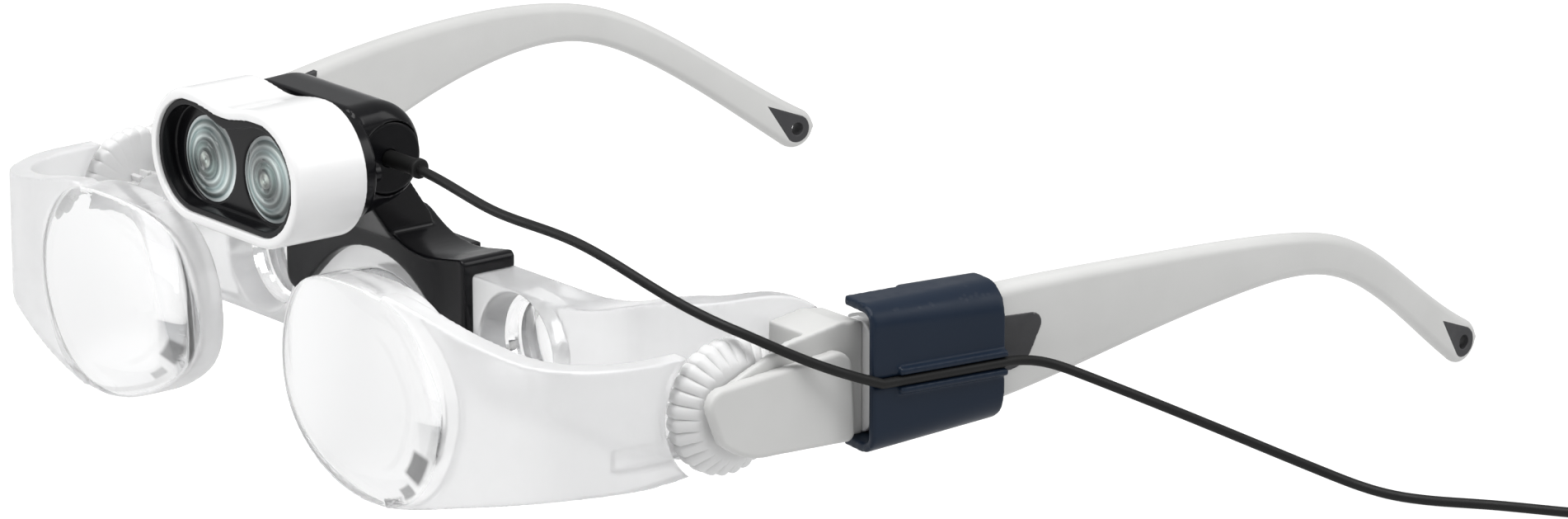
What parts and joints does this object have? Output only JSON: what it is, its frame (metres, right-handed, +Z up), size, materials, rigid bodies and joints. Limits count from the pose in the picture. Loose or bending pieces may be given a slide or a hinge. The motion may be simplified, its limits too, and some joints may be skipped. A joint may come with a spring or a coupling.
{
  "type": "head worn magnifier",
  "caption": "Head-worn binocular magnifier with sliding clear lens shells, ribbed focus wheels, folding temples and a tilting clip-on lamp with its cable.",
  "frame": {"origin": "apex of the nose saddle, where it rests on the nose", "axes": "+X the wearer's left, +Y back towards the ears along the optical axes, +Z up"},
  "size_m": [0.2694, 0.1746, 0.0524],
  "materials": {
    "clear_acrylic": "gloss",
    "lens_acrylic": "gloss",
    "clear_silicone": "satin",
    "frosted_white": "frosted",
    "warm_grey": "satin",
    "dark_soft_touch": "matt",
    "steel": "satin",
    "lamp_white": "gloss",
    "lamp_black": "satin",
    "led_phosphor": "matt",
    "circuit_board": "matt",
    "clip_navy": "satin",
    "cable_black": "matt"
  },
  "bodies": {
    "frame": {"rear_frame": "clear_acrylic", "nose_saddle": "clear_silicone", "housing_screws": "steel", "lamp_bracket": "lamp_black", "cable_front": "cable_black", "eyepiece_left": "lens_acrylic", "eyepiece_right": "lens_acrylic", "wheel_axle_left": "steel", "wheel_axle_right": "steel", "wheel_housing_left": "warm_grey", "wheel_housing_right": "warm_grey", "housing_cap_left": "warm_grey", "housing_cap_right": "warm_grey", "hinge_collar_left": "frosted_white", "hinge_collar_right": "frosted_white", "hinge_pin_left": "steel", "hinge_pin_right": "steel"},
    "lens_left": {"lens_shell_left": "clear_acrylic"},
    "lens_right": {"lens_shell_right": "clear_acrylic"},
    "wheel_left": {"focus_wheel_left": "frosted_white"},
    "wheel_right": {"focus_wheel_right": "frosted_white"},
    "temple_left": {"temple_left": "warm_grey", "temple_inlay_left": "dark_soft_touch", "temple_strip_left": "dark_soft_touch", "tip_insert_left": "dark_soft_touch", "cable_clip": "clip_navy", "cable_rear": "cable_black", "cable_plug": "cable_black", "plug_barrel": "steel"},
    "temple_right": {"temple_right": "warm_grey", "temple_inlay_right": "dark_soft_touch", "temple_strip_right": "dark_soft_touch", "tip_insert_right": "dark_soft_touch"},
    "lamp": {"lamp_shell": "lamp_white", "lamp_bezel": "lamp_black", "collimator_lenses": "lens_acrylic", "led_chips": "led_phosphor", "led_board": "circuit_board", "lamp_housing": "lamp_black", "lamp_screws": "steel", "pivot_cap_left": "lamp_black", "pivot_cap_right": "lamp_black", "tilt_pin": "steel", "cable_boot": "cable_black"}
  },
  "joints": [
    {"name": "focus_left", "type": "slide", "parent": "frame", "child": "lens_left", "axis": [0, -1, 0], "range_m": [0, 0.0045]},
    {"name": "wheel_turn_left", "type": "hinge", "parent": "frame", "child": "wheel_left", "pos_m": [0.0743, 0.0015, -0.0023], "axis": [-1, 0, 0], "range_deg": [0, 86]},
    {"name": "focus_right", "type": "slide", "parent": "frame", "child": "lens_right", "axis": [0, -1, 0], "range_m": [0, 0.0045]},
    {"name": "wheel_turn_right", "type": "hinge", "parent": "frame", "child": "wheel_right", "pos_m": [-0.0743, 0.0015, -0.0023], "axis": [-1, 0, 0], "range_deg": [0, 86]},
    {"name": "temple_fold_left", "type": "hinge", "parent": "frame", "child": "temple_left", "pos_m": [0.0726, 0.0264, 0], "axis": [0, 0, 1], "range_deg": [0, 90], "deforming": ["cable_rear"]},
    {"name": "temple_fold_right", "type": "hinge", "parent": "frame", "child": "temple_right", "pos_m": [-0.0726, 0.0264, 0], "axis": [0, 0, -1], "range_deg": [0, 80]},
    {"name": "lamp_tilt", "type": "hinge", "parent": "frame", "child": "lamp", "pos_m": [0, -0.0116, 0.02285], "axis": [-1, 0, 0], "range_deg": [0, 35]}
  ],
  "couplings": [
    {"joint": "wheel_turn_left", "follows": "focus_left", "rad_per_m": 333.33},
    {"joint": "wheel_turn_right", "follows": "focus_right", "rad_per_m": 333.33}
  ]
}
